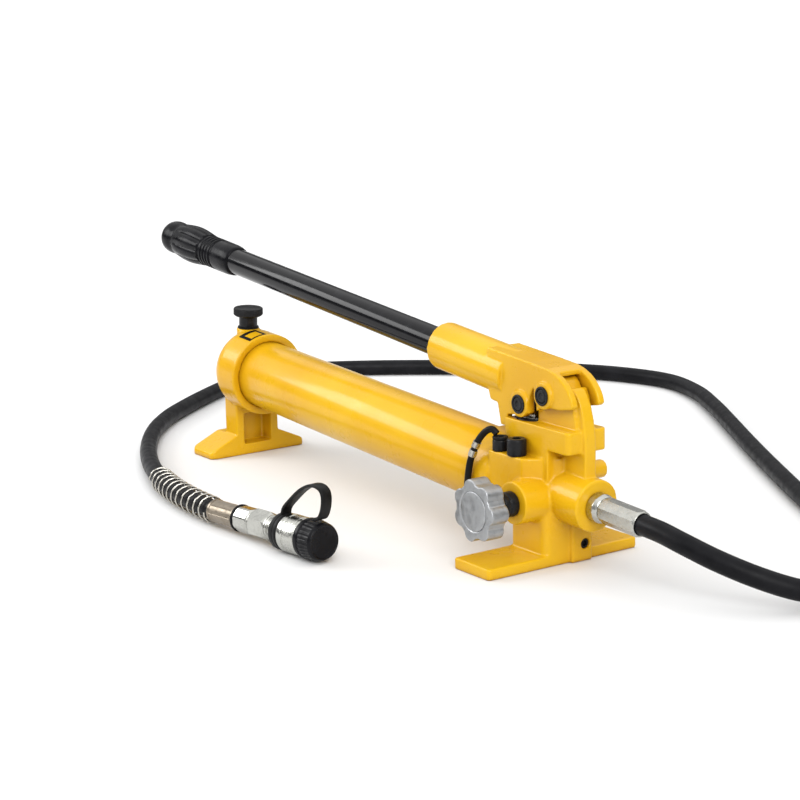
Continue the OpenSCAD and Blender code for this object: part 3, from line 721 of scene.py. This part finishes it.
def grip_outline():
    """The grip from its end inwards: bulb, barrel, four ribs and cuff."""
    found = [(0, 0, 0), (0.4, 6, 2), (3, 12.4, 3), (8, 16.5, 3), (13, 17.5, 3), (20, 17.3, 3),
             (26, 16.1, 3), (30, 16.0, 2)]
    for k in range(BARREL_STEPS + 1):
        t = k / BARREL_STEPS
        swell = math.sin(math.pi * (0.12 + 0.8 * t) ** 0.9)
        found.append((GRIP_START + 0.5 + t * (GRIP_END - GRIP_START - 1.5), 16.2 + 3.4 * swell, 0))
    found += [(GRIP_END, 15.4, 0.6)]
    for rib in range(4):
        x = 87 + 5.7 * rib
        found += [(x, 15.2, 0.5), (x + 0.8, 16.4, 0.7), (x + 3.0, 16.4, 0.7), (x + 3.8, 15.2, 0.5)]
    found += [(110, 15.3, 0.5), (112, 16.4, 1.5), (134, 16.2, 5), (141.5, 15.0, 2), (143, 13.5, 0.5),
              (143, 0)]
    return [(p[0] - HANDLE_REACH, *p[1:]) for p in found]


grip = turned("grip_body", HANDLE, grip_outline(), lobes, sides=192, ease=0.6, sharp=50)
carry(grip, "lever", "grip_plastic", "handle_grip")

PIN_OUTLINE = [(-20.4, 0), (-20.4, 2.4, 0.2), (-21.2, 2.9, 0.3), (-21.2, 5.3), (-20.2, PIN_R), (20.2, PIN_R),
               (21.2, 5.3), (21.2, 2.9, 0.3), (20.4, 2.4, 0.2), (20.4, 0)]
for name, node, (x, z) in (("fulcrum_pin_piece", "fulcrum_pin", FULCRUM),
                           ("drive_pin_piece", "drive_pin", DRIVE_PIN)):
    carry(turned(name, across(x, z), PIN_OUTLINE, sides=72, ease=0.4), "lever", "black_steel", node)


def retaining_rings():
    """A sprung ring with rounded edges at both ends of both pins, joined into one piece."""
    found = []
    for x, z in (FULCRUM, DRIVE_PIN):
        for side in (-1, 1):
            near, far = sorted((side * 19.8, side * 21.3))
            section = [(near, PIN_R + 0.02), (near, 8.2), (far, 8.2), (far, PIN_R + 0.02)]
            found.append(turned(f"ring_{side}_{x}", across(x, z), section, sides=72, ring=True, ease=0.6))
    return joined("pin_rings_piece", found)


carry(retaining_rings(), "lever", "black_steel", "pin_rings")

# ------------------------------------------------------------------ release valve

RELEASE = across(RELEASE_X, RELEASE_Z)

gland = turned("release_gland_piece", RELEASE,
               [(-63.5, 0), (-63.5, 9.6), (-62.3, 10.9), (-58.5, 10.9), (-58.1, 10.2), (-56.9, 10.2),
                (-56.5, 10.9), (-49.6, 10.9), (-48.6, 10.2), (-48.6, 8), (-31, 8), (-30, 7), (-30, 0)],
               ease=0.35)
carry(gland, "pump", "black_steel", "release_gland")
knob = cast_from("release_knob", "star_knob", 0.55, 10)
carry(knob, "release_valve", "knob_cast", "release_knob")
disc = turned("knob_disc_piece", RELEASE,
              [(-90.3, 0), (-90.3, 12, 4), (-90.1, DISC_R - 0.6), (-89.6, DISC_R), (-88.7, DISC_R),
               (-88.7, 0)],
              ease=0.3)
carry(disc, "release_valve", "knob_cast", "knob_disc")
shank = turned("release_stem_piece", RELEASE,
               [(-82, 0), (-82, 3.4), (-81.4, 4), (-14, 4), (-13.4, 2), (-12.8, 1.8), (-12.8, 0)],
               sides=64, ease=0.3)
carry(shank, "release_valve", "black_steel", "release_stem")

# ------------------------------------------------------------------ plugs, filler cap and strap


def socketed(flats, past_x, within_r):
    """Cuts a plug's socket to a hexagon: all that is past past_x and within within_r."""
    hexed = polygonal(flats)
    return lambda a, x, r: hexed(a, x, r) if x > past_x and r < within_r else r


def plug_outline(head_r, head_h):
    """Socket-head plug with a chamfered rim, from its nose up."""
    return [(-11, 0), (-11, 4.2), (-10, 5), (0, 5), (0, head_r - 0.6), (0.6, head_r), (head_h - 1.2, head_r),
            (head_h, head_r - 1.0), (head_h, head_r * 0.58), (head_h - 5, head_r * 0.56), (head_h - 6, 0)]


for name, node, x, head_r, head_h in (
        ("rear_plug_piece", "rear_relief_plug", REAR_PLUG_X, 6.8, REAR_PLUG_H),
        ("front_plug_piece", "front_relief_plug", FRONT_PLUG_X, 8.4, FRONT_PLUG_H)):
    plug = turned(name, upright(x, RELIEF_Y, VALVE_TOP), plug_outline(head_r, head_h),
                  socketed(head_r * 0.9, head_h - 6.5, head_r * 0.7), sides=72, ease=0.3)
    carry(plug, "pump", "black_steel", node)


def milled(a, x, r):
    """Fine milling round the rim of the filler cap."""
    return r - 0.35 * abs(math.sin(30 * a)) if 13.6 < x < 20.4 and r > 14.5 else r


filler = turned("filler_cap_piece", upright(FILLER_U, 0, FILLER_W, TANK),
                [(-12, 0), (-12, 7.2), (-11, 7.95), (1.2, 7.95), (1.2, 9.5), (12.2, 9.5, 1.0),
                 (12.6, 13.4, 1.0), (14.2, 15.2), (20.2, 15.2), (21.0, 14.4), (21.8, 9, 3), (22.1, 0)],
                milled, sides=240, ease=0.5)
carry(filler, "filler", "black_steel", "filler_cap")

STRAP_ROUTE = [(-36.2, -30.6, 106), (-40.5, -32.4, 109.3), (-46.5, -35, 106.5), (-53, -38.6, 97),
               (-58.6, -41.7, 81.5), (-61, -43, 68), (-62.4, -43.4, 54)]
strap_points = smooth_route(STRAP_ROUTE, 6)
CLIP_STRETCHES = ((18, 20), (21, 23))


def strap_eye_and_tail():
    """The strap's moulded eye round the rear plug, and the cord that hangs from it."""
    eye = turned("eye", upright(REAR_PLUG_X, RELIEF_Y, VALVE_TOP + REAR_PLUG_H),
                 [(0, 3.1), (0, 6.8), (2.4, 6.8), (2.4, 3.1)], ring=True, ease=0.7)
    tail = swept("tail", strap_points, circle(3, 20), up=Vector((0, 1, 0)))
    return joined("handle_strap_cord", [eye, tail])


carry(strap_eye_and_tail(), "pump", "black_rubber", "handle_strap")


def clip_tubes():
    """Two short metal sleeves on the strap, one above the other."""
    return joined("strap_clip_tubes", [
        swept(f"clip_{first}", strap_points[first:last + 1], circle(3.7, 24), up=Vector((0, 1, 0)))
        for first, last in CLIP_STRETCHES])


carry(clip_tubes(), "pump", "zinc_steel", "strap_clip")

# ------------------------------------------------------------------ small fittings

gland_ring = turned("gland_nut_piece", upright(-21.1, 0, 110),
                    [(0, 13.2), (0, 16.9), (9.2, 16.9), (9.8, 16.3), (9.8, 14.2), (9.2, 13.2)],
                    ring=True, ease=0.4)
carry(gland_ring, "pump", "black_steel", "gland_nut")
gauge = turned("gauge_plug_piece", PUMP @ Matrix.Translation((0, 14, 15)),
               [(12, 0), (12, 4.5), (25.9, 4.5), (26.5, 4.0), (26.5, 2.9), (23.2, 2.8), (23, 0)],
               socketed(5.2, 23, 3.2), sides=72, ease=0.25)
carry(gauge, "pump", "black_steel", "gauge_port_plug")
far_plug = turned("far_plug_piece", across(15, 74),
                  [(21, 0), (21, 4.9), (42, 4.9), (42.6, 4.4), (42.6, 2.8), (39.2, 2.7), (39, 0)],
                  socketed(5, 39.1, 3.2), sides=72, ease=0.25)
carry(far_plug, "pump", "black_steel", "far_port_plug")
nut_hexagon = polygonal(17)
rod_nut = turned("tie_rod_nut_piece", TANK,
                 [(-520, 5), (-520, 8.2), (-519.2, 9.6), (-512.6, 9.6), (-512, 8.8), (-512, 5)],
                 lambda a, x, r: nut_hexagon(a, x, r) if r > 6 else r, sides=144, ring=True, ease=0.3)
carry(rod_nut, "pump", "zinc_steel", "tie_rod_nut")

# Blank plate on top of the rear cap, with a black border
LABEL_U, LABEL_FROM, LABEL_TO, LABEL_BORDER, LABEL_R = (-486, -464), 62, 90, 3.6, 42


def curved_patch(name, u0, u1, a0, a1, thick=0.25):
    """A thin plate bent round the reservoir's axis; angles run from the -Y side towards the top."""
    steps = 16
    verts, faces = [], []
    for u in (u0, u1):
        for radius in (LABEL_R - 0.4, LABEL_R + thick):
            for k in range(steps + 1):
                a = math.radians(a0 + (a1 - a0) * k / steps)
                verts.append(TANK @ Vector((u, -radius * math.cos(a), radius * math.sin(a))))
    row = steps + 1
    for k in range(steps):
        faces += [(row + k, row + k + 1, 3 * row + k + 1, 3 * row + k),
                  (k + 1, k, 2 * row + k, 2 * row + k + 1), (k, k + 1, row + k + 1, row + k),
                  (2 * row + k + 1, 2 * row + k, 3 * row + k, 3 * row + k + 1)]
    faces += [(0, row, 3 * row, 2 * row), (row - 1, 3 * row - 1, 4 * row - 1, 2 * row - 1)]
    return new_object(name, verts, faces, 40)


border = curved_patch("label_border", *LABEL_U, LABEL_FROM, LABEL_TO)
carry(border, "pump", "cap_plastic")
inset = math.degrees(LABEL_BORDER / LABEL_R)
field = curved_patch("label_field", LABEL_U[0] + LABEL_BORDER + 3, LABEL_U[1] - LABEL_BORDER * 0.6,
                     LABEL_FROM + inset, LABEL_TO - inset, 0.4)
carry(field, "pump", "yellow_paint")
field.data.materials[0] = TUBE_PAINT

# ------------------------------------------------------------------ CAD pieces that stay as they are

slots = {part["node"]: part["material_slot"] for part in frame["record"]["subparts"]}
for node, obj in frame["nodes"].items():
    obj.data.materials.clear()
    obj.data.materials.append(FINISH[slots[node]])

# ------------------------------------------------------------------ studio

FLOOR_HALF, FLOOR_DROP = 30, 0.0002
SKY_STRENGTH = 1.55


def make_floor():
    """A wide pale floor, just below the pump so that it doesn't share a plane with the feet."""
    corners = [(x * FLOOR_HALF, y * FLOOR_HALF, -FLOOR_DROP) for x, y in ((-1, -1), (1, -1), (1, 1), (-1, 1))]
    floor = new_object("floor", corners, [(0, 1, 2, 3)])
    finish = Material("pale_floor", Roughness=0.75)
    finish.set(Base_Color=finish.patches(3, 3, (0.3, 0.68), (0.7, 0.71)))
    floor.data.materials.append(finish.material)


def sky(world):
    """Light that is strong overhead and weak and patchy near the horizon, as in a studio with dark walls."""
    tree = Tree(world, "Generated")
    height = tree.add("SeparateXYZ", Vector=tree.where).outputs["Z"]
    glow = tree.ramp(height, (0.0, 0.3), (0.35, 0.5), (0.75, 0.95))
    walls = tree.patches(2.8, 1, (0.44, 0.12), (0.58, 1.3))
    low = tree.ramp(height, (0.25, 1.0), (0.6, 0.0))
    background = tree.nodes["Background"]
    tree.feed(background.inputs["Color"], tree.mixed(low, glow, tree.times(glow, walls)))
    tree.feed(background.inputs["Strength"], SKY_STRENGTH)


def hang(data, facing, at=(0, 0, 0)):
    """Puts a light in the scene."""
    light = bpy.data.objects.new(data.name, data)
    light.location = at
    light.rotation_euler = facing.to_euler()
    bpy.context.scene.collection.objects.link(light)


def sun(name, way, power, spread):
    """A distant light from direction 'way', in W/m2, whose shadows are as soft as 'spread' degrees."""
    data = bpy.data.lights.new(name, "SUN")
    data.energy = power
    data.angle = math.radians(spread)
    hang(data, Vector(way).to_track_quat("Z", "Y"))


def softbox(name, at, aim, size, power):
    """A rectangular area light in metres and watts."""
    data = bpy.data.lights.new(name, "AREA")
    data.shape = "RECTANGLE"
    data.size, data.size_y = size
    data.energy = power
    hang(data, (Vector(aim) - Vector(at)).to_track_quat("-Z", "Y"), at)


def make_studio():
    make_floor()
    bpy.context.scene.world = bpy.data.worlds.new("studio")
    sky(bpy.context.scene.world)
    sun("front_sun", (0.85, -0.4, 0.55), 2.1, 34)
    softbox("left_strip", (-1.9, -1.5, 1.15), (-0.25, 0, 0.1), (1.6, 0.85), 29)
    bpy.context.scene.view_settings.view_transform = "Standard"


make_studio()
